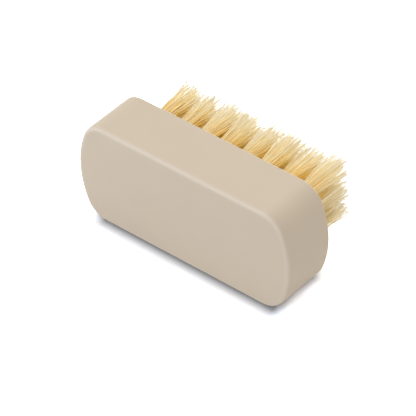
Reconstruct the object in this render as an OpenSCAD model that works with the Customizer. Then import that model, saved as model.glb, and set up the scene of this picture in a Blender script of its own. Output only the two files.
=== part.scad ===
// Nail brush with natural bristles. An open-backed moulded handle shell is
// closed by a tuft plate. Each tuft of plant fibre is folded round a flat wire
// anchor and driven into a blind hole of the plate.
// The pieces are described lying on the palm face with the bristles up, and
// the finished brush stands on one long narrow side with its bristles along +Y.

/* [Handle outline] */
// Length of the handle
handle_l = 90; // [82:1:104]
// Height of the handle, from one long narrow side to the other
handle_h = 39.6; // [36:0.2:46]
// Thickness of the handle, from palm face to bristle face
handle_t = 21.6; // [19:0.2:26]
// Radius of the four corners
corner_r = 9; // [7:0.5:12]
// Radius of the bowed ends
end_r = 38; // [30:1:60]
// Radius of the soft edge round the palm face
palm_edge_r = 1.3; // [0.6:0.1:2]
// Radius of the crisp edge round the bristle face
back_edge_r = 0.4; // [0.2:0.1:0.8]

/* [Handle shell] */
// Thickness of the side wall
wall_t = 2.4; // [2:0.1:3]
// Thickness of the wall under the palm face
palm_t = 3; // [2.2:0.1:4]
// Width of the ledge that the plate rests on
ledge_w = 1; // [0.6:0.1:1.6]
// Thickness of the stiffening ribs
rib_t = 1.4; // [1:0.1:2]
// Outer diameter of the bosses that grip the plate's pegs
boss_d = 6.4; // [5.6:0.1:7.6]

/* [Tuft plate] */
// Thickness of the plate
plate_t = 9; // [8.2:0.1:11]
// Gap between the plate's edge and the shell's wall
plate_gap = 0.1; // [0.05:0.01:0.2]
// Depth of the plate's face below the shell's rim
plate_sink = 0.3; // [0:0.05:0.6]
// Diameter of the locating pegs
peg_d = 3; // [2:0.1:3.6]
// Length of the locating pegs
peg_l = 5; // [3:0.1:6]
// Gap all round a peg in its boss
peg_gap = 0.03; // [0.01:0.01:0.06]
// Extra depth of a boss's bore below its peg
peg_room = 0.5; // [0.2:0.1:1]

/* [Tuft pattern] */
// Tufts along the handle
columns = 8; // [4:1:8]
// Rows of tufts across the handle
rows = 3; // [1:1:3]
// Distance from an end of the handle to its nearest tufts
end_margin = 14.2; // [13:0.1:15.6]
// Distance between rows
row_pitch = 8.6; // [7.8:0.1:9.8]
// Diameter of a tuft hole
hole_d = 4; // [3.6:0.1:4.6]
// Depth of a tuft hole
hole_depth = 7; // [5:0.1:7.6]

/* [Bristles] */
// Reach of the longest bristle beyond the plate
bristle_out = 25; // [16:0.5:32]
// Strands in one tuft
strands = 18; // [10:1:20]
// Width of a strand at its root
strand_d = 0.5; // [0.3:0.05:0.55]
// Radius of a tuft at its tips
tip_spread = 3.4; // [2.6:0.1:3.6]
// Furthest that a tip strays sideways from its place
tip_stray = 0.25; // [0:0.05:0.3]
// Difference between the longest and the shortest strand
tip_ragged = 2.2; // [0:0.1:3]
// Gap between the folded root of a tuft and its hole
tuft_gap = 0.05; // [0.02:0.01:0.1]
// Depth of a tuft's root below the plate's face
root_sink = 0.6; // [0.2:0.1:1]
// Length of a strand's foot that is fused into the root
strand_hold = 0.6; // [0.3:0.1:1]

/* [Anchors] */
// Thickness of the anchor wire
anchor_t = 0.4; // [0.3:0.05:0.6]
// Height of an anchor, along the hole
anchor_h = 2.2; // [1.6:0.1:2.6]
// Bite of an anchor into the plate on each side of the hole
anchor_bite = 0.35; // [0.2:0.05:0.5]
// Fibre folded under an anchor
fold_t = 0.8; // [0.5:0.1:1.2]
// Gap round an anchor
anchor_gap = 0.02; // [0.01:0.01:0.05]

/* [Hidden] */
ROWS = ["upper", "middle", "lower"];
// Overrun of the cuts, and of pieces that run into one another
cut = 0.5;
// Heights above the palm face
face_z = handle_t - plate_sink;
plate_z = face_z - plate_t;
floor_z = face_z - hole_depth;
root_z = face_z - root_sink;
strand_z = root_z - strand_hold;
anchor_z = floor_z + fold_t;
// Centres and limits of the arcs in the handle's outline
end_x = handle_l / 2 - end_r;
corner_y = handle_h / 2 - corner_r;
corner_x = end_x + sqrt(pow(end_r - corner_r, 2) - pow(corner_y, 2));
end_a = asin(corner_y / (end_r - corner_r));
// Distance between tufts along the handle
column_pitch = (handle_l - 2 * end_margin) / max(columns - 1, 1);
// Radii of a tuft's root and of its strands' places in it
root_r = hole_d / 2 - tuft_gap;
root_spread = root_r - strand_d / 2;
// Width of a strand at its tip, as a share of its width at the root
tip_share = 0.8;
golden_a = 137.508;
strand_sides = 3;
root_sides = 8;
// Facets along the handle's arcs and round its edges
corner_steps = 14;
end_steps = 14;
palm_edge_steps = 5;
back_edge_steps = 2;
$fn = 96;

function tuft_name(r, c) = str("tuft_", ROWS[r - 1], "_", c);
function anchor_name(r) = str("anchors_", ROWS[r - 1]);
// Faces of a solid with so many rings of n points each: both ends, and two
// triangles from each step of a ring to the next ring
function ring_faces(n, rings) = concat(
    [[for (i = [0:n - 1]) i], [for (i = [n * rings - 1:-1:n * (rings - 1)]) i]],
    [
        for (ring = [0:rings - 2], i = [0:n - 1])
            let (
                a = ring * n + i,
                b = ring * n + (i + 1) % n
            )
            each [[a, a + n, b + n], [a, b + n, b]]
    ]
);
// Centre of a tuft hole, with the upper row on the brush's upper side
function hole_xy(r, c) = [
    (c - (columns + 1) / 2) * column_pitch,
    (r - (rows + 1) / 2) * row_pitch
];

// Turns a piece from its lying place to the standing brush
module stand_up() {
    translate([0, -handle_t / 2, handle_h / 2]) rotate([-90, 0, 0]) children();
}

// The handle's outline drawn in by inset: two straight sides, bowed ends and
// four corner arcs that meet both
module outline(inset) {
    ray = 2 * end_r * [cos(end_a), sin(end_a)];
    square([2 * corner_x, handle_h - 2 * inset], center = true);
    for (turn = [0, 180])
        rotate(turn) {
            for (y = [-corner_y, corner_y])
                translate([corner_x, y]) circle(corner_r - inset);
            translate([end_x, 0]) intersection() {
                circle(end_r - inset);
                polygon([[0, 0], [ray.x, -ray.y], ray]);
            }
        }
}

// Square-edged solid of that outline, between z0 and z1
module slab(inset, z0, z1) {
    translate([0, 0, z0]) linear_extrude(z1 - z0) outline(inset);
}

// Points along an arc, both ends included
function arc_points(centre, r, from_a, to_a, steps) = [
    for (i = [0:steps])
        let (a = from_a + (to_a - from_a) * i / steps)
        centre + r * [cos(a), sin(a)]
];

// Points once round the outline drawn in by inset, with one point where two
// arcs meet
function outline_points(inset) =
    let (
        low = arc_points([corner_x, -corner_y], corner_r - inset, -90, -end_a, corner_steps),
        bow = arc_points([end_x, 0], end_r - inset, -end_a, end_a, end_steps),
        high = arc_points([corner_x, corner_y], corner_r - inset, end_a, 90, corner_steps),
        right = concat(low, [for (i = [1:end_steps - 1]) bow[i]], high)
    )
    concat(right, -right);

// Insets and heights of a quarter-round edge, from its flat face to its side
function edge_rings(r, steps) = [
    for (i = [0:steps])
        let (a = 90 * i / steps)
        r * [1 - sin(a), 1 - cos(a)]
];

// Outer form of the handle: rings of the outline, stacked from the rounded
// palm edge to the rounded back edge
module handle_form() {
    back = edge_rings(back_edge_r, back_edge_steps);
    rings = concat(
        edge_rings(palm_edge_r, palm_edge_steps),
        [for (i = [back_edge_steps:-1:0]) [back[i].x, handle_t - back[i].y]]
    );
    points = [for (ring = rings, p = outline_points(ring.x)) [p.x, p.y, ring.y]];
    polyhedron(points, ring_faces(len(outline_points(0)), len(rings)));
}

// Puts its children at the four pegs, in the centres of the corner arcs
module at_pegs() {
    for (x = [-corner_x, corner_x], y = [-corner_y, corner_y])
        translate([x, y]) children();
}

// Ribs between the tuft columns and between the rows, which back the plate
module ribs() {
    rib_h = plate_z + cut;
    for (c = [0:columns])
        translate([(c - columns / 2) * column_pitch - rib_t / 2, -handle_h / 2])
            cube([rib_t, handle_h, rib_h]);
    for (r = [1:1:rows - 1])
        translate([-handle_l / 2, (r - rows / 2) * row_pitch - rib_t / 2])
            cube([handle_l, rib_t, rib_h]);
}

// Hollows behind the plate, between the ribs and the bosses
module cores() {
    difference() {
        slab(wall_t + ledge_w, palm_t, plate_z + cut);
        ribs();
        at_pegs() cylinder(d = boss_d, h = plate_z + cut);
    }
}

module handle_shell() {
    bore_h = peg_l + peg_room;
    color("#d3c4af") difference() {
        handle_form();
        slab(wall_t, plate_z, handle_t + cut);
        cores();
        at_pegs() translate([0, 0, plate_z - bore_h])
            cylinder(d = peg_d + 2 * peg_gap, h = bore_h + cut);
    }
}

// Space of one anchor, grown by gap on every side
module anchor_box(gap) {
    size = [hole_d + 2 * anchor_bite, anchor_t, anchor_h];
    translate([-size.x / 2 - gap, -size.y / 2 - gap, anchor_z - gap])
        cube([size.x + 2 * gap, size.y + 2 * gap, size.z + 2 * gap]);
}

module tuft_plate() {
    color("#cfc0ab") {
        difference() {
            slab(wall_t + plate_gap, plate_z, face_z);
            for (r = [1:rows], c = [1:columns])
                translate(hole_xy(r, c)) {
                    translate([0, 0, floor_z]) cylinder(d = hole_d, h = hole_depth + cut);
                    anchor_box(anchor_gap);
                }
        }
        at_pegs() translate([0, 0, plate_z - peg_l]) cylinder(d = peg_d, h = peg_l + cut);
    }
}

module anchors(r) {
    color("#c8b070")
        for (c = [1:columns])
            translate(hole_xy(r, c)) anchor_box(0);
}

// Place of strand k in a disc of radius 1, in the pattern of sunflower seeds
function seed_place(k) =
    sqrt((k + 1 / 2) / strands) * [cos(k * golden_a), sin(k * golden_a)];

// One strand: a thin straight shaft that tapers from its root to its tip.
// place is its place in the disc, stray its tip's offset and top its height.
module strand(place, stray, top) {
    turns = [for (i = [0:strand_sides - 1]) i * 360 / strand_sides];
    root = place * root_spread;
    tip = place * tip_spread + stray;
    root_points = [for (a = turns) [each root + strand_d / 2 * [cos(a), sin(a)], strand_z]];
    tip_points = [for (a = turns) [each tip + strand_d * tip_share / 2 * [cos(a), sin(a)], top]];
    polyhedron(concat(root_points, tip_points), ring_faces(strand_sides, 2));
}

// The folded root of a tuft, slotted for its anchor, and the strands fused to it
module tuft(r, c) {
    seed = r * columns + c;
    across = rands(-tip_stray, tip_stray, 2 * strands, seed);
    short = rands(0, tip_ragged, strands, seed + strands);
    color("#e5cb9b") translate(hole_xy(r, c)) {
        difference() {
            translate([0, 0, floor_z]) cylinder(r = root_r, h = root_z - floor_z, $fn = root_sides);
            anchor_box(anchor_gap);
        }
        for (k = [0:strands - 1]) {
            shortfall = k == 0 ? 0 : short[k];
            stray = [across[2 * k], across[2 * k + 1]];
            strand(seed_place(k), stray, face_z + bristle_out - shortfall);
        }
    }
}

stand_up() handle_shell();
stand_up() tuft_plate();
for (r = [1:rows])
    stand_up() anchors(r);
for (r = [1:rows], c = [1:columns])
    stand_up() tuft(r, c);
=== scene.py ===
# %% [markdown]
# # Dressing a nail brush
# The brush is a moulded handle shell, a plate that closes its open back, and tufts of stiff plant
# fibre in the plate's holes, each held by a short flat wire. All of it is already built as exact
# solids, and this file gives them their looks. The shell and the tufts are made afresh, because
# soft edges and loose fibres need finer meshes than the solids have. The plate and the wires keep
# their solid shapes and get a finish.

# %% Load the solid model
import math

import bmesh
import bpy
from mathutils import Matrix, Vector


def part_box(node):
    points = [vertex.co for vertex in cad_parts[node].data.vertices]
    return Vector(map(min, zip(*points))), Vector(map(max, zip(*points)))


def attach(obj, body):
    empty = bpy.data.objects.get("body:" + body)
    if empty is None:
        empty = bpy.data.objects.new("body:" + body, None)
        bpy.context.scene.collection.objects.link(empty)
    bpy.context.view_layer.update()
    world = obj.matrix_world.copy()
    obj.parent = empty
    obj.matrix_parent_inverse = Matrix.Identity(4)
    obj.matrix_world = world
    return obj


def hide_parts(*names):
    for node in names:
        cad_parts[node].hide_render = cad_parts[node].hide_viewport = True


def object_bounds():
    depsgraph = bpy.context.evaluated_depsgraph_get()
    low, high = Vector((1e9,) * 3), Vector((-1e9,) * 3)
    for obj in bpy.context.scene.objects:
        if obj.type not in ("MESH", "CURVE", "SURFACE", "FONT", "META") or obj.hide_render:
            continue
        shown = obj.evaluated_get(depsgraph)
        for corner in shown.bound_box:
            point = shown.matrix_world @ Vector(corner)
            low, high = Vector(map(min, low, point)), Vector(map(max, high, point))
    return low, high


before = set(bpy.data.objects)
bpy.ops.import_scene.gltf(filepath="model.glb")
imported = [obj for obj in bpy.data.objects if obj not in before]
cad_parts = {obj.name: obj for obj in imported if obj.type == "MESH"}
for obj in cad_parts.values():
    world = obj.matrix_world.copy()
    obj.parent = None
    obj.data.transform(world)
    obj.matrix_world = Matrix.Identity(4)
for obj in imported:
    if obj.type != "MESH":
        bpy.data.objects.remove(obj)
cad_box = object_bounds()
print(len(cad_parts), "solid pieces, corners", [tuple(round(v, 4) for v in c) for c in cad_box])

# %% [markdown]
# Every size is in metres, as in the solid model. The brush stands on one long narrow side. X runs
# along the handle, Y from the palm face out along the bristles, and Z is up. The sizes that the
# solids already hold are measured on them here, so that nothing can drift away from them.

# %% Measure the solids
MM = 0.001
shell_low, shell_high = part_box("handle_shell")
handle_length = shell_high.x - shell_low.x
handle_thickness = shell_high.y - shell_low.y
handle_height = shell_high.z - shell_low.z
block_centre = (shell_low + shell_high) / 2
plate_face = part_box("tuft_plate")[1].y
print("handle", [round(v / MM, 2) for v in (handle_length, handle_thickness, handle_height)], "mm")

# %% [markdown]
# A product photograph is often taken with a long lens from some way off, which keeps parallel
# edges nearly parallel. The camera is placed by its azimuth and elevation round the handle's
# centre, then rolled a little. It aims beside that centre, because the handle doesn't lie in the
# middle of the picture, and that is simpler than shifting the lens.

# %% Place the camera
PICTURE_SIDE = 416
SENSOR_WIDTH = 36
FOCAL_PIXELS = 3199.4
VIEW_AZIMUTH = math.radians(40.60)
VIEW_ELEVATION = math.radians(40.32)
VIEW_ROLL = math.radians(-1.57)
VIEW_DISTANCE = 1.0606
AIM_RIGHT = 2.05 * MM
AIM_DOWN = 2.39 * MM


def new_object(name, data):
    """An object with this data, linked to the scene."""
    made = bpy.data.objects.new(name, data)
    bpy.context.scene.collection.objects.link(made)
    return made


def aimed_camera():
    """A camera that looks at the handle from the photographed side."""
    level = math.cos(VIEW_ELEVATION)
    back = Vector((
        math.sin(VIEW_AZIMUTH) * level,
        -math.cos(VIEW_AZIMUTH) * level,
        math.sin(VIEW_ELEVATION),
    ))
    right = (-back).cross(Vector((0, 0, 1))).normalized()
    roll = Matrix.Rotation(VIEW_ROLL, 3, back)
    right = roll @ right
    up = back.cross(right)
    place = block_centre + back * VIEW_DISTANCE
    aim = block_centre + right * AIM_RIGHT - up * AIM_DOWN
    backwards = (place - aim).normalized()
    sideways = up.cross(backwards).normalized()
    upwards = backwards.cross(sideways)
    turn = Matrix((sideways, upwards, backwards)).transposed()
    data = bpy.data.cameras.new("photo_camera")
    data.sensor_width = SENSOR_WIDTH
    data.lens = FOCAL_PIXELS * SENSOR_WIDTH / PICTURE_SIDE
    camera = new_object("photo_camera", data)
    camera.matrix_world = Matrix.Translation(place) @ turn.to_4x4()
    return camera


bpy.context.scene.camera = aimed_camera()
print("lens", round(bpy.context.scene.camera.data.lens, 1), "mm")

# %% [markdown]
# Node trees are built by many small steps of the same kind: add a node, then link or set its
# inputs. These helpers do that, so that the trees below read like formulas. They serve shader
# trees and geometry trees alike.

# %% Helpers for node trees
def feed(tree, socket, value):
    """Links a socket to another node's output, or sets it to a plain value."""
    if isinstance(value, bpy.types.NodeSocket):
        tree.links.new(value, socket)
    else:
        socket.default_value = value


def add_node(tree, kind, inputs=None, **settings):
    """Adds a node, applies its settings and feeds its named or numbered inputs."""
    node = tree.nodes.new(kind)
    for name, value in settings.items():
        setattr(node, name, value)
    for key, value in (inputs or {}).items():
        feed(tree, node.inputs[key], value)
    return node


def calc(tree, operation, *values):
    """The result of a Math node."""
    inputs = dict(enumerate(values))
    return add_node(tree, "ShaderNodeMath", inputs, operation=operation).outputs[0]


def add_sockets(tree, direction, sockets):
    """Gives a node group its named inputs or outputs."""
    for name, kind in sockets:
        tree.interface.new_socket(name, in_out=direction, socket_type=kind)


print("helpers ready")

# %% [markdown]
# Moulded plastic is never quite even. Under a soft light its colour clouds a little, and a fine
# texture from the mould's spark-eroded steel scatters its gloss. The shell and the plate are both
# moulded, so this is one shader node group with named inputs, and each material places it with
# its own values. A mask on the mesh marks the rounded edges, which are painted paler: partly wear
# from handling, partly a painted highlight where the edges catch the light.

# %% Build the moulded surface group
MOULDED_INPUTS = [
    ("Colour", "NodeSocketColor"),
    ("Worn And Highlit Colour", "NodeSocketColor"),
    ("Edge Mask", "NodeSocketFloat"),
    ("Cloud Size", "NodeSocketFloat"),
    ("Cloud Strength", "NodeSocketFloat"),
    ("Grain Size", "NodeSocketFloat"),
    ("Grain Depth", "NodeSocketFloat"),
    ("Roughness", "NodeSocketFloat"),
]
MOULDED_OUTPUTS = [
    ("Colour", "NodeSocketColor"),
    ("Roughness", "NodeSocketFloat"),
    ("Normal", "NodeSocketVector"),
]
NOISE_MIDDLE = 0.5
CLOUD_DETAIL = 3.0
GRAIN_DETAIL = 2.0
FROST = 0.15


def object_place(tree):
    """A point's place on the whole brush, in metres."""
    return tree.nodes.new("ShaderNodeTexCoord").outputs["Object"]


def noise(tree, place, size, detail):
    """A noise pattern whose blobs are about size across."""
    inputs = {"Vector": place, "Scale": calc(tree, "DIVIDE", 1.0, size), "Detail": detail}
    return add_node(tree, "ShaderNodeTexNoise", inputs).outputs["Fac"]


def mix_colours(tree, factor, first, second, blend="MIX"):
    """Two colours mixed by a factor, through the Mix node's sockets for colours."""
    inputs = {0: factor, 6: first, 7: second}
    return add_node(tree, "ShaderNodeMix", inputs, data_type="RGBA", blend_type=blend).outputs[2]


def joined_colour(tree, red, green, blue):
    """Three numbers as one colour."""
    return add_node(tree, "ShaderNodeCombineColor", {0: red, 1: green, 2: blue}).outputs[0]


def moulded_surface():
    """The node group that clouds a colour, frosts a gloss and grains a surface."""
    tree = bpy.data.node_groups.new("moulded_surface", "ShaderNodeTree")
    add_sockets(tree, "INPUT", MOULDED_INPUTS)
    add_sockets(tree, "OUTPUT", MOULDED_OUTPUTS)
    given = tree.nodes.new("NodeGroupInput").outputs
    result = tree.nodes.new("NodeGroupOutput").inputs
    place = object_place(tree)
    cloud = noise(tree, place, given["Cloud Size"], CLOUD_DETAIL)
    grain = noise(tree, place, given["Grain Size"], GRAIN_DETAIL)
    swing = calc(tree, "SUBTRACT", cloud, NOISE_MIDDLE)
    swing = calc(tree, "MULTIPLY", swing, given["Cloud Strength"])
    shade = calc(tree, "ADD", swing, 1.0)
    grey = joined_colour(tree, shade, shade, shade)
    clouded = mix_colours(tree, 1.0, given["Colour"], grey, "MULTIPLY")
    # Painted highlight and wear: the edge mask mixes the rounded edges towards a paler colour.
    worn_and_highlit = mix_colours(tree, given["Edge Mask"], clouded, given["Worn And Highlit Colour"])
    feed(tree, result["Colour"], worn_and_highlit)
    frost = calc(tree, "MULTIPLY", calc(tree, "SUBTRACT", grain, NOISE_MIDDLE), FROST)
    feed(tree, result["Roughness"], calc(tree, "ADD", given["Roughness"], frost))
    bump = add_node(tree, "ShaderNodeBump", {"Distance": given["Grain Depth"], "Height": grain})
    feed(tree, result["Normal"], bump.outputs["Normal"])
    return tree


moulded_group = moulded_surface()
print("group", moulded_group.name, "has", len(MOULDED_INPUTS), "inputs")

# %% [markdown]
# The handle is a warm beige with a matte finish. Colours are chosen as they look on a screen, from
# 0 to 255, and turned into the linear values that a shader works in. The shell's rounded edges are
# painted paler, partly for wear and partly as a painted highlight. The plate is moulded of the same
# stuff, a shade deeper, because it lies among the tufts and gathers dust and soap. It gets no paler
# edges, so both of its colours are the same.

# %% Mix the moulded plastics
SHELL_BEIGE = (206, 190, 168)
# The rounded edges' paler colour: partly wear, partly a painted highlight.
SHELL_WORN_AND_HIGHLIT = (219, 205, 186)
SHELL_GRAIN = 0.02 * MM
SHELL_ROUGHNESS = 0.55
PLATE_BEIGE = (202, 185, 161)
PLATE_GRAIN = 0.03 * MM
PLATE_ROUGHNESS = 0.6
CLOUD_SIZE = 14 * MM
CLOUD_STRENGTH = 0.05
GRAIN_SIZE = 0.35 * MM
PLASTIC_GLOSS = 0.35
EDGE_ATTRIBUTE = "worn_and_highlit_edge"


def linear(screen_colour):
    """A 0 to 255 screen colour as a linear colour with alpha, by the curve that screens share."""
    parts = [level / 255 for level in screen_colour]
    parts = [p / 12.92 if p <= 0.04045 else ((p + 0.055) / 1.055) ** 2.4 for p in parts]
    return (*parts, 1.0)


def new_material(name):
    """An empty node material, with its tree and its Principled BSDF."""
    material = bpy.data.materials.new(name)
    material.use_nodes = True
    tree = material.node_tree
    return material, tree, tree.nodes["Principled BSDF"]


def attribute(tree, name):
    """A number that the mesh carries."""
    return add_node(tree, "ShaderNodeAttribute", attribute_name=name).outputs["Fac"]


def moulded_plastic(name, colour, worn_and_highlit, grain_depth, roughness):
    """A matte plastic with the moulded surface's clouds and grain, and its rounded edges painted paler for
    wear and a painted highlight.
    """
    material, tree, shader = new_material(name)
    values = {
        "Colour": linear(colour),
        "Worn And Highlit Colour": linear(worn_and_highlit),
        "Edge Mask": attribute(tree, EDGE_ATTRIBUTE),
        "Cloud Size": CLOUD_SIZE,
        "Cloud Strength": CLOUD_STRENGTH,
        "Grain Size": GRAIN_SIZE,
        "Grain Depth": grain_depth,
        "Roughness": roughness,
    }
    surface = add_node(tree, "ShaderNodeGroup", node_tree=moulded_group)
    for key, value in values.items():
        feed(tree, surface.inputs[key], value)
    feed(tree, shader.inputs["Base Color"], surface.outputs["Colour"])
    feed(tree, shader.inputs["Roughness"], surface.outputs["Roughness"])
    feed(tree, shader.inputs["Normal"], surface.outputs["Normal"])
    shader.inputs["Specular IOR Level"].default_value = PLASTIC_GLOSS
    return material


shell_plastic = moulded_plastic("shell_plastic", SHELL_BEIGE, SHELL_WORN_AND_HIGHLIT, SHELL_GRAIN, SHELL_ROUGHNESS)
plate_plastic = moulded_plastic("plate_plastic", PLATE_BEIGE, PLATE_BEIGE, PLATE_GRAIN, PLATE_ROUGHNESS)
print("mixed", shell_plastic.name, "and", plate_plastic.name)

# %% [markdown]
# The handle's outline has two straight sides and two bowed ends, joined by four corner arcs that
# meet both without a kink. Two radii and the measured box say all of it, so its points come from a
# formula. Drawing the outline in by an inset only shortens the radii.

# %% Draw the handle's outline
CORNER_RADIUS = 9 * MM
END_RADIUS = 38 * MM
CORNER_STEPS = 24
END_STEPS = 24
end_centre = handle_length / 2 - END_RADIUS
corner_rise = handle_height / 2 - CORNER_RADIUS
corner_centre = end_centre + math.sqrt((END_RADIUS - CORNER_RADIUS) ** 2 - corner_rise ** 2)
meeting_angle = math.asin(corner_rise / (END_RADIUS - CORNER_RADIUS))


def arc(centre_x, centre_z, radius, start, end, steps):
    """Points along an arc, both ends included."""
    turns = [start + (end - start) * i / steps for i in range(steps + 1)]
    return [(centre_x + radius * math.cos(turn), centre_z + radius * math.sin(turn)) for turn in turns]


def handle_outline(inset):
    """Points once round the handle's outline, drawn in by inset."""
    corner, bow = CORNER_RADIUS - inset, END_RADIUS - inset
    quarter = math.pi / 2
    half = arc(corner_centre, -corner_rise, corner, -quarter, -meeting_angle, CORNER_STEPS)
    half += arc(end_centre, 0, bow, -meeting_angle, meeting_angle, END_STEPS)[1:-1]
    half += arc(corner_centre, corner_rise, corner, meeting_angle, quarter, CORNER_STEPS)
    return half + [(-x, -z) for x, z in half]


print("outline of", len(handle_outline(0)), "points")

# %% [markdown]
# The shell is that outline carried from the palm face to the open back. Its profile is a list of
# insets and depths: a soft rounding round the palm, a crisp one round the back, the flat rim, and
# a tiny rounding into the recess where the plate sits. Extra rings lie close to the palm's rounding
# and to the back's, so that smooth shading stays flat on the flats.

# %% Describe the shell's profile
PALM_EDGE_SPAN = 2.6 * MM
PALM_EDGE_POWER = 3.6
BACK_EDGE_RADIUS = 0.4 * MM
RIM_EDGE_RADIUS = 0.2 * MM
WALL = 2.4 * MM
EDGE_STEPS = 10
SUPPORT = 0.4 * MM
RECESS_SHOWN = 1.5 * MM


def rounding(span, power, steps):
    """Insets, depths and edge masks of a rounded edge, from the flat face to the side.

    Power 2 is a quarter of a circle. A higher power leaves the flats more gently and turns more
    sharply in its middle."""
    share = 2 / power
    rings = []
    for i in range(steps + 1):
        turn = math.pi / 2 * i / steps
        inset = span * (1 - math.sin(turn) ** share)
        depth = span * (1 - math.cos(turn) ** share)
        # The edge mask is highest mid-way round a rounding, where the painted highlight and the wear lie.
        rings.append((inset, depth, math.sin(2 * turn) ** 2))
    return rings


def shell_profile():
    """Insets, depths and edge masks of the shell's rings, from the palm to the recess."""
    deep = handle_thickness
    palm = rounding(PALM_EDGE_SPAN, PALM_EDGE_POWER, 2 * EDGE_STEPS)
    back = [(i, deep - d, m) for i, d, m in reversed(rounding(BACK_EDGE_RADIUS, 2, EDGE_STEPS))]
    rim = [(WALL - i, deep - d, m) for i, d, m in rounding(RIM_EDGE_RADIUS, 2, EDGE_STEPS)]
    return (
        [(PALM_EDGE_SPAN + SUPPORT, 0, 0)] + palm
        + [(0, PALM_EDGE_SPAN + SUPPORT, 0), (0, deep - BACK_EDGE_RADIUS - SUPPORT, 0)] + back
        + rim + [(WALL, deep - RECESS_SHOWN, 0)]
    )


print("profile of", len(shell_profile()), "rings")

# %% [markdown]
# Inside, the real shell has a ledge, ribs and four bosses behind the plate. Nobody sees them, but
# the mesh is also a result in its own right, so the solid's own inner faces are taken over: its
# faces are copied, merged, and kept where they lie no shallower than the palm wall and no higher
# than the ledge. One band then bridges them to the new outside, and the shell is closed.

# %% Build the handle shell
PALM_WALL = 3 * MM
PLATE_THICKNESS = 9 * MM
MERGE = 0.001 * MM
SLACK = 0.01 * MM
SHARP_FROM = math.radians(40)


def add_rings(bm, profile):
    """Rows of vertices round the handle, one for each ring of the profile, joined by quads."""
    mask = bm.verts.layers.float.new(EDGE_ATTRIBUTE)
    rows = []
    for inset, depth, share in profile:
        row = []
        for x, z in handle_outline(inset):
            row.append(bm.verts.new((x, shell_low.y + depth, block_centre.z + z)))
            row[-1][mask] = share
        rows.append(row)
    for row, following in zip(rows, rows[1:]):
        for i in range(len(row)):
            j = (i + 1) % len(row)
            bm.faces.new((row[i], row[j], following[j], following[i]))
    bm.faces.new(rows[0])


def add_inner_faces(bm):
    """Adds the solid's own faces behind the plate: ledge, ribs, cells and bosses."""
    inner = bmesh.new()
    inner.from_mesh(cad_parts["handle_shell"].data)
    bmesh.ops.remove_doubles(inner, verts=inner.verts, dist=MERGE)
    lowest = shell_low.y + PALM_WALL - SLACK
    highest = plate_face - PLATE_THICKNESS + SLACK
    outer = [f for f in inner.faces if not all(lowest <= v.co.y <= highest for v in f.verts)]
    bmesh.ops.delete(inner, geom=outer, context="FACES")
    carrier = bpy.data.meshes.new("inner_faces")
    inner.to_mesh(carrier)
    inner.free()
    bm.from_mesh(carrier)
    bpy.data.meshes.remove(carrier)


def finished_piece(name, mesh, material):
    """Links a mesh with its material as a piece that rides on the brush."""
    mesh.materials.clear()
    mesh.materials.append(material)
    piece = new_object(name, mesh)
    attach(piece, "root")
    return piece


def handle_mesh():
    """The handle shell: a fine outside bridged to the solid's inner faces."""
    bm = bmesh.new()
    add_rings(bm, shell_profile())
    add_inner_faces(bm)
    open_edges = [e for e in bm.edges if len(e.link_faces) == 1]
    bmesh.ops.bridge_loops(bm, edges=open_edges)
    bmesh.ops.recalc_face_normals(bm, faces=bm.faces)
    left_open = sum(len(e.link_faces) != 2 for e in bm.edges)
    print("shell:", len(bm.faces), "faces,", left_open, "open edges, volume",
          round(bm.calc_volume() / MM ** 3), "cubic mm")
    mesh = bpy.data.meshes.new("handle_shell_moulding")
    bm.to_mesh(mesh)
    bm.free()
    mesh.shade_smooth()
    mesh.set_sharp_from_angle(angle=SHARP_FROM)
    return mesh


shell_piece = finished_piece("handle_shell_moulding", handle_mesh(), shell_plastic)
shell_piece.modifiers.new("flat_flats", "WEIGHTED_NORMAL").keep_sharp = True
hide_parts("handle_shell")

# %% [markdown]
# The plate and the wires keep their solid meshes and places, and each gets its finish in its
# material slots. A solid's object may not be moved and its mesh may not be changed, but its
# material slots are free, so each gets its finish there. The wires are drawn brass, dulled by
# damp. They lie deep in the holes and show only if a tuft is taken out.

# %% Finish the plate and the wires
ROWS = ("upper", "middle", "lower")
BRASS = (196, 162, 98)
BRASS_DULL = (150, 118, 70)
BRASS_SMOOTHEST = 0.25
BRASS_ROUGHENING = 0.2
DRAW_MARK = 0.05 * MM
DRAW_LENGTH = 3 * MM


def streak_noise(tree, place, lengths):
    """A noise pattern drawn out into streaks, with their lengths along X, Y and Z."""
    stretch = tuple(1 / length for length in lengths)
    drawn_out = add_node(tree, "ShaderNodeMapping", {"Vector": place, "Scale": stretch}).outputs[0]
    return add_node(tree, "ShaderNodeTexNoise", {"Vector": drawn_out, "Scale": 1.0}).outputs["Fac"]


def drawn_brass():
    """A brass whose draw marks run along the handle, as the wire does."""
    material, tree, shader = new_material("drawn_brass")
    marks = streak_noise(tree, object_place(tree), (DRAW_LENGTH, DRAW_MARK, DRAW_MARK))
    colour = mix_colours(tree, marks, linear(BRASS_DULL), linear(BRASS))
    feed(tree, shader.inputs["Base Color"], colour)
    shader.inputs["Metallic"].default_value = 1.0
    roughness = calc(tree, "MULTIPLY_ADD", marks, BRASS_ROUGHENING, BRASS_SMOOTHEST)
    feed(tree, shader.inputs["Roughness"], roughness)
    return material


def refinish(node, material):
    """Gives a solid piece a new material."""
    node.data.materials.clear()
    node.data.materials.append(material)


wire_brass = drawn_brass()
refinish(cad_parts["tuft_plate"], plate_plastic)
for row in ROWS:
    refinish(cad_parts["anchors_" + row], wire_brass)
print("finished the plate and the wires")

# %% [markdown]
# The bristles are a stiff plant fibre. Each is golden towards its root, partly its own colour and
# partly painted shade where the strands crowd out of the hole, then straw-coloured along its length
# and bleached at the cut tip. No two are quite alike: some are bleached all along, a few are amber,
# and some are a little duller than others. Inside the bundle all of them are painted a deep gold,
# which is painted shade for the light that reaches there only through other fibres. So the colour
# follows three things: numbers that each fibre carries on its mesh, the depth under the bundle's
# skin, which a formula gives, and fine streaks along the fibre. The depth comes first.

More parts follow.
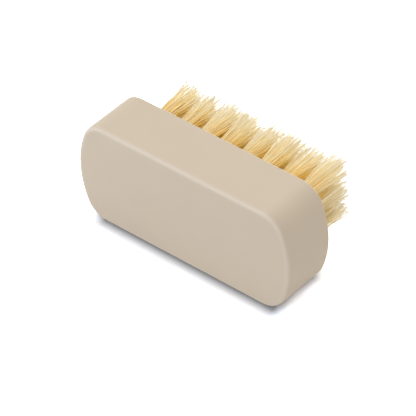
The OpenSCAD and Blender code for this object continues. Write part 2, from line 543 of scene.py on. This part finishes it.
# %% Find the depth in the bundle
ALONG = "along_fibre"
TONE = "fibre_tone"
SHADE = "fibre_shade"
ROOT_RADIUS = 1.85 * MM
TIP_RADIUS = 4.5 * MM
corner_low, corner_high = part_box("tuft_upper_8")
last_column = (corner_low.x + corner_high.x) / 2
last_row = (corner_low.z + corner_high.z) / 2 - block_centre.z


def depth_in_bundle(tree, place, along):
    """How far a point lies under the skin of the whole bundle, which widens from root to tip."""
    split = add_node(tree, "ShaderNodeSeparateXYZ", {0: place}).outputs
    spread = calc(tree, "MULTIPLY_ADD", along, TIP_RADIUS - ROOT_RADIUS, ROOT_RADIUS)
    sideways = calc(tree, "ABSOLUTE", split["X"])
    upwards = calc(tree, "ABSOLUTE", calc(tree, "SUBTRACT", split["Z"], block_centre.z))
    from_end = calc(tree, "SUBTRACT", calc(tree, "ADD", spread, last_column), sideways)
    from_side = calc(tree, "SUBTRACT", calc(tree, "ADD", spread, last_row), upwards)
    return calc(tree, "MINIMUM", from_end, from_side)


print("the last tufts stand", round(last_column / MM, 1), "and", round(last_row / MM, 1), "mm out")

# %% [markdown]
# The colours are laid over one another in turn: root, straw and tip along the fibre, then the
# bleached strands, the painted deep-gold shade inside the bundle, and the amber strands. Each layer
# shows as far as its mask says, and a mask climbs from 0 to 1 between a start and an end, so a layer
# is moved or softened by changing two values. Where the start is above the end, the mask climbs
# towards the lower numbers.

# %% Colour the fibre
# The root colour is partly the fibre's own gold and partly painted shade where the strands crowd.
FIBRE_ROOT_WITH_SHADE = (255, 226, 145)
FIBRE_STRAW = (255, 244, 212)
FIBRE_TIP = (255, 253, 247)
FIBRE_BLEACHED = (255, 249, 228)
# The deep gold is painted shade inside the bundle, where light gets only through other fibres.
FIBRE_DEEP_SHADE = (255, 221, 74)
FIBRE_AMBER = (250, 212, 112)
STRAW_FADE = (0.1, 0.6)
TIP_FADE = (0.55, 1.0)
DEEP_SHADE_FADE = (0.75, 0.25)
SKIN = (0.7 * MM, 2.7 * MM)
BLEACHED_TONES = (0.42, 0.18)
AMBER_TONES = (0.72, 1.0)
BLEACHED_MOST = 0.7
DEEP_SHADE_MOST = 0.97
AMBER_MOST = 0.3


def ramp(tree, value, start, end):
    """A value as 0 at start and 1 at end, held at both ends."""
    inputs = {"Value": value, "From Min": start, "From Max": end}
    return add_node(tree, "ShaderNodeMapRange", inputs).outputs["Result"]


def fibre_colour(tree, place):
    """The colour of a fibre at a place, before its streaks."""
    along = attribute(tree, ALONG)
    tone = attribute(tree, TONE)
    colour = mix_colours(tree, ramp(tree, along, *STRAW_FADE), linear(FIBRE_ROOT_WITH_SHADE), linear(FIBRE_STRAW))
    colour = mix_colours(tree, ramp(tree, along, *TIP_FADE), colour, linear(FIBRE_TIP))
    bleached = calc(tree, "MULTIPLY", ramp(tree, tone, *BLEACHED_TONES), BLEACHED_MOST)
    colour = mix_colours(tree, bleached, colour, linear(FIBRE_BLEACHED))
    # Painted shade: strands under the bundle's skin turn deep gold, less so towards the tip.
    buried = ramp(tree, depth_in_bundle(tree, place, along), *SKIN)
    deep = calc(tree, "MULTIPLY", buried, ramp(tree, along, *DEEP_SHADE_FADE))
    deep = calc(tree, "MULTIPLY", deep, DEEP_SHADE_MOST)
    colour = mix_colours(tree, deep, colour, linear(FIBRE_DEEP_SHADE))
    amber = calc(tree, "MULTIPLY", ramp(tree, tone, *AMBER_TONES), AMBER_MOST)
    return mix_colours(tree, amber, colour, linear(FIBRE_AMBER))


print("a fibre fades from", FIBRE_ROOT_WITH_SHADE, "to", FIBRE_TIP, "and is", FIBRE_DEEP_SHADE, "inside the bundle")

# %% [markdown]
# Each strand is as bright as its own number says, and a duller one is also more golden. Fine streaks
# run along it. So thin a fibre lets light through too, and each one that the light passes turns it
# more golden, which is why a tuft glows. Real scattering is slow, and it made such thin tubes dark
# and greenish, so the material only lets the lamps' shadow rays through, tinted. Every other ray
# meets a solid fibre.

# %% Mix the plant fibre
FIBRE_THROUGH = (255, 247, 212)
FIBRE_GLOSS = 0.4
FIBRE_SMOOTHEST = 0.4
FIBRE_ROUGHENING = 0.2
DULL_CURVE = 2.2
DULL_AT_ROOT = 0.20
DULL_AT_TIP = 0.32
DULL_GREEN_POWER = 1.25
DULL_BLUE_POWER = 2.0
BRIGHTEST = 1.03
STREAK_WIDTH = 0.12 * MM
STREAK_LENGTH = 4 * MM
STREAK_DARKEST = 0.9
STREAK_LIGHTENING = 0.2


def strand_shade(tree):
    """How bright a strand is beside its neighbours, which differ least at the root."""
    dull = calc(tree, "POWER", attribute(tree, SHADE), DULL_CURVE)
    most = calc(tree, "MULTIPLY_ADD", attribute(tree, ALONG), DULL_AT_TIP - DULL_AT_ROOT, DULL_AT_ROOT)
    return calc(tree, "SUBTRACT", BRIGHTEST, calc(tree, "MULTIPLY", dull, most))


def golden_shade(tree, shade):
    """A brightness as a colour that loses its blue first, so that a duller strand is more golden."""
    green = calc(tree, "POWER", shade, DULL_GREEN_POWER)
    blue = calc(tree, "POWER", shade, DULL_BLUE_POWER)
    return joined_colour(tree, shade, green, blue)


def plant_fibre():
    """A dry fibre: golden at its root, partly as painted shade, deep gold inside the bundle as painted
    shade, bleached at its tip and streaked lengthwise.
    """
    material, tree, shader = new_material("plant_fibre")
    place = object_place(tree)
    streaks = streak_noise(tree, place, (STREAK_WIDTH, STREAK_LENGTH, STREAK_WIDTH))
    streak_shade = calc(tree, "MULTIPLY_ADD", streaks, STREAK_LIGHTENING, STREAK_DARKEST)
    shade = calc(tree, "MINIMUM", calc(tree, "MULTIPLY", streak_shade, strand_shade(tree)), 1.0)
    colour = mix_colours(tree, 1.0, fibre_colour(tree, place), golden_shade(tree, shade), "MULTIPLY")
    feed(tree, shader.inputs["Base Color"], colour)
    roughness = calc(tree, "MULTIPLY_ADD", streaks, FIBRE_ROUGHENING, FIBRE_SMOOTHEST)
    feed(tree, shader.inputs["Roughness"], roughness)
    shader.inputs["Specular IOR Level"].default_value = FIBRE_GLOSS
    tint = add_node(tree, "ShaderNodeBsdfTransparent", {"Color": linear(FIBRE_THROUGH)})
    lamp_ray = tree.nodes.new("ShaderNodeLightPath").outputs["Is Shadow Ray"]
    inputs = {0: lamp_ray, 1: shader.outputs[0], 2: tint.outputs[0]}
    mixer = add_node(tree, "ShaderNodeMixShader", inputs)
    feed(tree, tree.nodes["Material Output"].inputs["Surface"], mixer.outputs[0])
    return material


fibre_material = plant_fibre()
print("mixed", fibre_material.name)

# %% [markdown]
# A tuft is a bundle of fibres folded in half round its wire, so one fibre gives two strands. This
# is work for Geometry Nodes: one tree makes a tuft from named sizes and a seed, and every hole
# gets its own. The tree makes one straight line of points for each fibre, and then moves every
# point by a formula. First come the numbers that the formula needs: how far a point is from the
# fold, which of the two strands it lies on, and chance numbers that are the same all along a strand.

# %% Number the strands
LINE_POINTS = 13
GOLDEN_SHARE = 0.618034
TUFT_INPUTS = [
    ("Fibres", "NodeSocketInt"),
    ("Root Radius", "NodeSocketFloat"),
    ("Tip Radius", "NodeSocketFloat"),
    ("Reach", "NodeSocketFloat"),
    ("Fold Depth", "NodeSocketFloat"),
    ("Fibre Width", "NodeSocketFloat"),
    ("Ragged", "NodeSocketFloat"),
    ("Stray", "NodeSocketFloat"),
    ("Bow", "NodeSocketFloat"),
    ("Lean X", "NodeSocketFloat"),
    ("Lean Y", "NodeSocketFloat"),
    ("Seed", "NodeSocketInt"),
    ("Material", "NodeSocketMaterial"),
]


def fibre_lines(tree, fibres):
    """One straight line of points for each fibre."""
    line = add_node(tree, "GeometryNodeCurvePrimitiveLine")
    points = add_node(tree, "GeometryNodeResampleCurve", {"Curve": line.outputs[0], "Count": LINE_POINTS})
    spots = add_node(tree, "GeometryNodePoints", {"Count": fibres})
    inputs = {"Points": spots.outputs[0], "Instance": points.outputs[0]}
    lines = add_node(tree, "GeometryNodeInstanceOnPoints", inputs)
    return add_node(tree, "GeometryNodeRealizeInstances", {"Geometry": lines.outputs[0]}).outputs[0]


def strand_numbers(tree):
    """For each point: its fibre, its side of the fold, its share of the way out and its strand."""
    fibre = tree.nodes.new("GeometryNodeCurveOfPoint").outputs["Curve Index"]
    along_line = tree.nodes.new("GeometryNodeSplineParameter").outputs["Factor"]
    signed = calc(tree, "MULTIPLY_ADD", along_line, 2.0, -1.0)
    side = calc(tree, "GREATER_THAN", signed, 0.0)
    out = calc(tree, "ABSOLUTE", signed)
    strand = calc(tree, "MULTIPLY_ADD", fibre, 2.0, side)
    return fibre, side, out, strand


def chance(tree, given, strand, number):
    """A chance number from 0 to 1, one for each strand. Each number gives another set."""
    seed = calc(tree, "ADD", given["Seed"], number)
    inputs = {"ID": strand, "Seed": seed}
    return add_node(tree, "FunctionNodeRandomValue", inputs, data_type="FLOAT").outputs[1]


print("a fibre is a line of", LINE_POINTS, "points")

# %% [markdown]
# Seen end on, the strands fill the round hole evenly. The square root in their distance from the
# middle gives every ring its fair share, and the golden share turns each fibre away from the one
# before. One strand of a fibre lies in one half of the hole, and its twin mirrors it across the
# wire. Past the plate's face the strands fan out, bow a little, and a few stray far. A bow is the
# share of the way out times the share that is left: nothing at both ends and a quarter in the
# middle, so four times that gives it a height of one.

# %% Bend the lines into a tuft
FOLD_SHARPNESS = 10
SHORT_CURVE = 1.5
FAN_CURVE = 1.05
STRAY_CURVE = 1.5
STRAY_LEAST = 0.25
STRAY_GROWTH = 1.5
BELLY_FACTOR = 4.0


def polar(tree, length, turn):
    """The x and y of a length at a turn from 0 to 1."""
    angle = calc(tree, "MULTIPLY", turn, math.tau)
    x = calc(tree, "MULTIPLY", length, calc(tree, "COSINE", angle))
    y = calc(tree, "MULTIPLY", length, calc(tree, "SINE", angle))
    return x, y


def hole_place(tree, given, fibre, side):
    """Where a strand lies in a disc of radius 1."""
    filled = calc(tree, "DIVIDE", calc(tree, "ADD", fibre, 0.5), given["Fibres"])
    turn = calc(tree, "FRACT", calc(tree, "MULTIPLY", fibre, GOLDEN_SHARE))
    x, y = polar(tree, calc(tree, "SQRT", filled), calc(tree, "MULTIPLY", turn, 0.5))
    mirror = calc(tree, "MULTIPLY_ADD", side, 2.0, -1.0)
    return x, calc(tree, "MULTIPLY", y, mirror)


def strand_place(tree, given, numbers):
    """Each point's place in the tuft, and its share of the way from the face to the tip."""
    fibre, side, out, strand = numbers
    short = calc(tree, "POWER", chance(tree, given, strand, 1), SHORT_CURVE)
    reach = calc(tree, "SUBTRACT", given["Reach"], calc(tree, "MULTIPLY", short, given["Ragged"]))
    depth = given["Fold Depth"]
    height = calc(tree, "SUBTRACT", calc(tree, "MULTIPLY", out, calc(tree, "ADD", reach, depth)), depth)
    share = calc(tree, "MAXIMUM", calc(tree, "DIVIDE", height, reach), 0.0)
    widening = calc(tree, "SUBTRACT", given["Tip Radius"], given["Root Radius"])
    fan = calc(tree, "MULTIPLY_ADD", calc(tree, "POWER", share, FAN_CURVE), widening, given["Root Radius"])
    place_x, place_y = hole_place(tree, given, fibre, side)
    opened = calc(tree, "MINIMUM", calc(tree, "MULTIPLY", out, FOLD_SHARPNESS), 1.0)
    place_y = calc(tree, "MULTIPLY", place_y, opened)
    far = calc(tree, "POWER", chance(tree, given, strand, 3), STRAY_CURVE)
    far = calc(tree, "MULTIPLY_ADD", far, 1 - STRAY_LEAST, STRAY_LEAST)
    stray = calc(tree, "MULTIPLY", given["Stray"], far)
    stray = calc(tree, "MULTIPLY", stray, calc(tree, "POWER", share, STRAY_GROWTH))
    stray_x, stray_y = polar(tree, stray, chance(tree, given, strand, 2))
    rise = calc(tree, "MULTIPLY", share, BELLY_FACTOR)
    belly = calc(tree, "MULTIPLY", calc(tree, "SUBTRACT", 1.0, share), rise)
    bow = calc(tree, "MULTIPLY", calc(tree, "MULTIPLY", given["Bow"], belly), chance(tree, given, strand, 5))
    bow_x, bow_y = polar(tree, bow, chance(tree, given, strand, 4))
    x = calc(tree, "MULTIPLY_ADD", place_x, fan, calc(tree, "ADD", stray_x, bow_x))
    y = calc(tree, "MULTIPLY_ADD", place_y, fan, calc(tree, "ADD", stray_y, bow_y))
    x = calc(tree, "MULTIPLY_ADD", given["Lean X"], share, x)
    y = calc(tree, "MULTIPLY_ADD", given["Lean Y"], share, y)
    place = add_node(tree, "ShaderNodeCombineXYZ", {"X": x, "Y": y, "Z": height}).outputs[0]
    return place, share


print("strands fan out by the power", FAN_CURVE)

# %% [markdown]
# The bent lines become tubes of four sides. A fibre is widest near the root and tapers, and each
# has its own width. The tree stores the three numbers that the fibre's material reads, and ends
# by realizing everything and setting the material, because an export drops instances.

# %% Finish the tuft's tree
TAPER = 0.5
TAPER_CURVE = 3
THINNEST = 0.55
THICKENING = 0.7
TUBE_SIDES = 4
HALF_WIDTH = "half_width"


def store(tree, geometry, name, value):
    """Stores a number on the points under a name."""
    inputs = {"Geometry": geometry, "Name": name, "Value": value}
    return add_node(tree, "GeometryNodeStoreNamedAttribute", inputs).outputs[0]


def tuft_tree():
    """The tree that makes one tuft, standing on the plate's face with its bristles along Z."""
    tree = bpy.data.node_groups.new("tuft", "GeometryNodeTree")
    add_sockets(tree, "INPUT", TUFT_INPUTS)
    add_sockets(tree, "OUTPUT", [("Tuft", "NodeSocketGeometry")])
    given = tree.nodes.new("NodeGroupInput").outputs
    numbers = strand_numbers(tree)
    strand = numbers[-1]
    place, share = strand_place(tree, given, numbers)
    lines = fibre_lines(tree, given["Fibres"])
    lines = store(tree, lines, ALONG, share)
    lines = store(tree, lines, TONE, chance(tree, given, strand, 6))
    lines = store(tree, lines, SHADE, chance(tree, given, strand, 8))
    own_width = calc(tree, "MULTIPLY_ADD", chance(tree, given, strand, 7), THICKENING, THINNEST)
    slimming = calc(tree, "MULTIPLY_ADD", calc(tree, "POWER", share, TAPER_CURVE), -TAPER, 1.0)
    width = calc(tree, "MULTIPLY", calc(tree, "MULTIPLY", given["Fibre Width"], own_width), slimming)
    lines = store(tree, lines, HALF_WIDTH, calc(tree, "MULTIPLY", width, 0.5))
    bent = add_node(tree, "GeometryNodeSetPosition", {"Geometry": lines, "Position": place}).outputs[0]
    section = add_node(tree, "GeometryNodeCurvePrimitiveCircle", {"Resolution": TUBE_SIDES, "Radius": 1.0})
    scale = add_node(tree, "GeometryNodeInputNamedAttribute", {"Name": HALF_WIDTH}, data_type="FLOAT")
    inputs = {
        "Curve": bent,
        "Profile Curve": section.outputs[0],
        "Scale": scale.outputs[0],
        "Fill Caps": True,
    }
    tubes = add_node(tree, "GeometryNodeCurveToMesh", inputs).outputs[0]
    smooth = add_node(tree, "GeometryNodeSetShadeSmooth", {"Geometry": tubes}).outputs[0]
    real = add_node(tree, "GeometryNodeRealizeInstances", {"Geometry": smooth}).outputs[0]
    inputs = {"Geometry": real, "Material": given["Material"]}
    tuft = add_node(tree, "GeometryNodeSetMaterial", inputs).outputs[0]
    feed(tree, tree.nodes.new("NodeGroupOutput").inputs["Tuft"], tuft)
    return tree


tuft_nodes = tuft_tree()
print("the tuft's tree has", len(tuft_nodes.nodes), "nodes")

# %% [markdown]
# Each tuft is grown on an empty host object, turned into a plain mesh, and then carried to its
# hole: the bristles' own Z becomes the brush's Y. The middle of the solid tuft's box says where,
# along the handle to a tenth of a millimetre. That tuft's strands are uneven too, so the new one
# stands up to half a millimetre from the middle of its hole. Every tuft leans a little its own
# way, as real ones do after some use.

# %% Grow the tufts
COLUMNS = 8
FIBRES = 106
FOLD_DEPTH = 6.5 * MM
FIBRE_WIDTH = 0.30 * MM
RAGGED = 2.0 * MM
STRAY = 2.3 * MM
BOW = 0.6 * MM
TUFT_LEAN = 0.5 * MM
bristle_reach = cad_box[1].y - plate_face


def tuft_sizes(seed):
    """The values of the tree's inputs for one tuft."""
    turn = seed * GOLDEN_SHARE * math.tau
    return {
        "Fibres": FIBRES,
        "Root Radius": ROOT_RADIUS,
        "Tip Radius": TIP_RADIUS,
        "Reach": bristle_reach,
        "Fold Depth": FOLD_DEPTH,
        "Fibre Width": FIBRE_WIDTH,
        "Ragged": RAGGED,
        "Stray": STRAY,
        "Bow": BOW,
        "Lean X": TUFT_LEAN * math.cos(turn),
        "Lean Y": TUFT_LEAN * math.sin(turn),
        "Seed": seed,
        "Material": fibre_material,
    }


def grown_mesh(name, tree, values):
    """The plain mesh that a geometry tree makes from these values."""
    host = new_object("host", bpy.data.meshes.new("host"))
    modifier = host.modifiers.new("grow", "NODES")
    modifier.node_group = tree
    for item in tree.interface.items_tree:
        if item.item_type == "SOCKET" and item.in_out == "INPUT":
            modifier[item.identifier] = values[item.name]
    graph = bpy.context.evaluated_depsgraph_get()
    mesh = bpy.data.meshes.new_from_object(host.evaluated_get(graph), depsgraph=graph)
    host.modifiers.remove(modifier)
    bpy.data.objects.remove(host)
    mesh.name = name
    return mesh


def grow_tuft(solid_name, seed):
    """A tuft in the hole of the solid tuft that it replaces."""
    low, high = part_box(solid_name)
    x = round((low.x + high.x) / 2 / MM, 1) * MM
    z = (low.z + high.z) / 2
    mesh = grown_mesh(solid_name + "_fibres", tuft_nodes, tuft_sizes(seed))
    mesh.transform(Matrix.Translation((x, plate_face, z)) @ Matrix.Rotation(-math.pi / 2, 4, "X"))
    piece = finished_piece(solid_name + "_fibres", mesh, fibre_material)
    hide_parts(solid_name)
    return len(mesh.polygons)


tufts = 0
faces = 0
for row in ROWS:
    for column in range(1, COLUMNS + 1):
        tufts += 1
        faces += grow_tuft("tuft_" + row + "_" + str(column), tufts)
print(tufts, "tufts of", faces, "faces in all")

# %% [markdown]
# The brush stands on a wide pale floor, and a soft dark line runs round its foot. A product
# photograph shows such a floor so bright that the lamps' own shadow would wash out, so the paper
# itself darkens towards the foot. The foot is a rounded rectangle as deep as the handle and about
# as long as its flat side, between the corner arcs, and the distance from it is a short formula.
# Its ends follow the photographed shadow: tucked in a little on the left, and on the right drawn
# out, most towards the corners, with a steeper fade.

# %% Find the distance from the foot
FOOT_ROUNDING = 1.0 * MM
LEFT_TUCK = 1.3 * MM
RIGHT_SPREAD = 0.4 * MM
CORNER_SPREAD = 2.4 * MM
RIGHT_STEEPNESS = 1.35
foot_left = shell_low.x + CORNER_RADIUS + FOOT_ROUNDING + LEFT_TUCK
foot_right = shell_high.x - CORNER_RADIUS - FOOT_ROUNDING + RIGHT_SPREAD


def above(tree, value, limit):
    """How far a value lies above a limit."""
    return calc(tree, "MAXIMUM", calc(tree, "SUBTRACT", value, limit), 0.0)


def distance_from_foot(tree):
    """How far a point of the floor lies outside the brush's foot, and how far past its right end."""
    split = add_node(tree, "ShaderNodeSeparateXYZ", {0: object_place(tree)}).outputs
    across = calc(tree, "DIVIDE", calc(tree, "SUBTRACT", split["Y"], block_centre.y), handle_thickness / 2)
    corner_share = calc(tree, "MINIMUM", calc(tree, "MULTIPLY", across, across), 1.0)
    right = calc(tree, "MULTIPLY_ADD", corner_share, CORNER_SPREAD, foot_right)
    past_right = calc(tree, "MULTIPLY", above(tree, split["X"], right), RIGHT_STEEPNESS)
    past_end = calc(tree, "ADD", past_right, above(tree, foot_left, split["X"]))
    past_front = above(tree, shell_low.y + FOOT_ROUNDING, split["Y"])
    past_back = above(tree, split["Y"], shell_high.y - FOOT_ROUNDING)
    past_side = calc(tree, "ADD", past_front, past_back)
    square = calc(tree, "MULTIPLY", past_side, past_side)
    square = calc(tree, "MULTIPLY_ADD", past_end, past_end, square)
    return calc(tree, "SUBTRACT", calc(tree, "SQRT", square), FOOT_ROUNDING), past_right


print("the foot reaches from", round(foot_left / MM, 1), "to", round(foot_right / MM, 1), "mm")

# %% [markdown]
# Seen straight on or in a reflection, the floor is bright enough to go white, and only the shadow at
# the brush's foot stays below white. To every other ray it is an ordinary pale floor, so the light
# that it throws back on the brush stays plain. The Light Path node tells the rays apart. Past the
# foot's right end the light that comes through the tufts is golden, and a cooler paper takes that
# back.

# %% Lay the floor
FLOOR_SIDE = 4.0
FLOOR_SEEN = 2.2
FLOOR_SHADED = 0.46
FLOOR_MIRRORED = 1.0
FLOOR_BOUNCE = 0.90
SHADOW_REACH = 6.6 * MM
PAPER_TINT = (0.96, 0.99, 1.04, 1.0)
RIGHT_TINT = (0.93, 0.98, 1.08, 1.0)
TINT_FADE = 3 * MM


def floor_material():
    """A white floor that keeps the shadow."""
    material, tree, plain_shader = new_material("floor_paper")
    tree.nodes.remove(plain_shader)
    distance, past_right = distance_from_foot(tree)
    open_share = ramp(tree, distance, 0.0, SHADOW_REACH)
    seen = calc(tree, "MULTIPLY_ADD", open_share, FLOOR_SEEN - FLOOR_SHADED, FLOOR_SHADED)
    path = tree.nodes.new("ShaderNodeLightPath").outputs
    mirrored = calc(tree, "MAXIMUM", path["Is Glossy Ray"], path["Is Transmission Ray"])
    level = calc(tree, "MULTIPLY_ADD", mirrored, FLOOR_MIRRORED - FLOOR_BOUNCE, FLOOR_BOUNCE)
    seen_more = calc(tree, "SUBTRACT", seen, FLOOR_BOUNCE)
    level = calc(tree, "MULTIPLY_ADD", path["Is Camera Ray"], seen_more, level)
    grey = joined_colour(tree, level, level, level)
    tint = mix_colours(tree, ramp(tree, past_right, 0.0, TINT_FADE), PAPER_TINT, RIGHT_TINT)
    paper = mix_colours(tree, path["Is Camera Ray"], grey, tint, "MULTIPLY")
    shader = add_node(tree, "ShaderNodeBsdfDiffuse", {"Color": paper})
    feed(tree, tree.nodes["Material Output"].inputs["Surface"], shader.outputs[0])
    return material


def lay_floor():
    """A square floor under the brush."""
    half = FLOOR_SIDE / 2
    level = cad_box[0].z
    corners = [(-half, -half, level), (half, -half, level), (half, half, level), (-half, half, level)]
    mesh = bpy.data.meshes.new("floor")
    mesh.from_pydata(corners, [], [(0, 1, 2, 3)])
    mesh.materials.append(floor_material())
    floor = new_object("floor", mesh)


lay_floor()
print("floor of", FLOOR_SIDE, "m at height", round(cad_box[0].z, 4))

# %% [markdown]
# The light is plain and soft: a pale world all round, and four wide lamps. One hangs above, one
# stands in front of the palm face on the left, a weak one on the right, and one behind shines
# through the tufts. So the top is lightest, the palm face next and the bowed end last. The lamp
# above is a little warmer than the one in front, as ceiling light is beside a window. A lamp's
# power follows from the share of full white that it should add to a surface facing it, whatever
# its distance.

# %% Set the light
WORLD_SHARE = 0.30
LAMP_DISTANCE = 1.5
WHITE = (1, 1, 1)
WARM_WHITE = (1, 0.985, 0.96)
COOL_WHITE = (0.93, 1, 1.14)
LAMPS = {
    "top_lamp": {"share": 0.54, "direction": (-0.1, 0.1, 1), "side": 1.6, "colour": WARM_WHITE},
    "front_lamp": {"share": 0.56, "direction": (-0.55, -0.85, 0.33), "side": 1.2, "colour": COOL_WHITE},
    "back_lamp": {"share": 0.72, "direction": (-0.15, 0.9, 0.2), "side": 1.2, "colour": WHITE},
    "right_lamp": {"share": 0.20, "direction": (1, 0, 0.25), "side": 1.2, "colour": WHITE},
}


def pale_world():
    """White to the camera, a gloss or a glass, and a soft even light to everything else."""
    world = bpy.data.worlds.new("pale_world")
    world.use_nodes = True
    tree = world.node_tree
    path = tree.nodes.new("ShaderNodeLightPath").outputs
    seen = calc(tree, "MAXIMUM", path["Is Camera Ray"], path["Is Glossy Ray"])
    seen = calc(tree, "MAXIMUM", seen, path["Is Transmission Ray"])
    background = tree.nodes["Background"]
    background.inputs["Color"].default_value = (1, 1, 1, 1)
    strength = calc(tree, "MULTIPLY_ADD", seen, 1 - WORLD_SHARE, WORLD_SHARE)
    feed(tree, background.inputs["Strength"], strength)
    return world


def soft_lamp(name, share, direction, side, colour):
    """A wide square lamp that faces the brush from a direction."""
    direction = Vector(direction).normalized()
    data = bpy.data.lights.new(name, "AREA")
    data.size = side
    data.color = colour
    data.energy = share * math.pi ** 2 * LAMP_DISTANCE ** 2
    lamp = new_object(name, data)
    lamp.location = block_centre + direction * LAMP_DISTANCE
    lamp.rotation_euler = direction.to_track_quat("Z", "Y").to_euler()
    print(name, "of", round(data.energy, 2), "W")


bpy.context.scene.world = pale_world()
for name, settings in LAMPS.items():
    soft_lamp(name, **settings)
bpy.context.scene.view_settings.view_transform = "Standard"
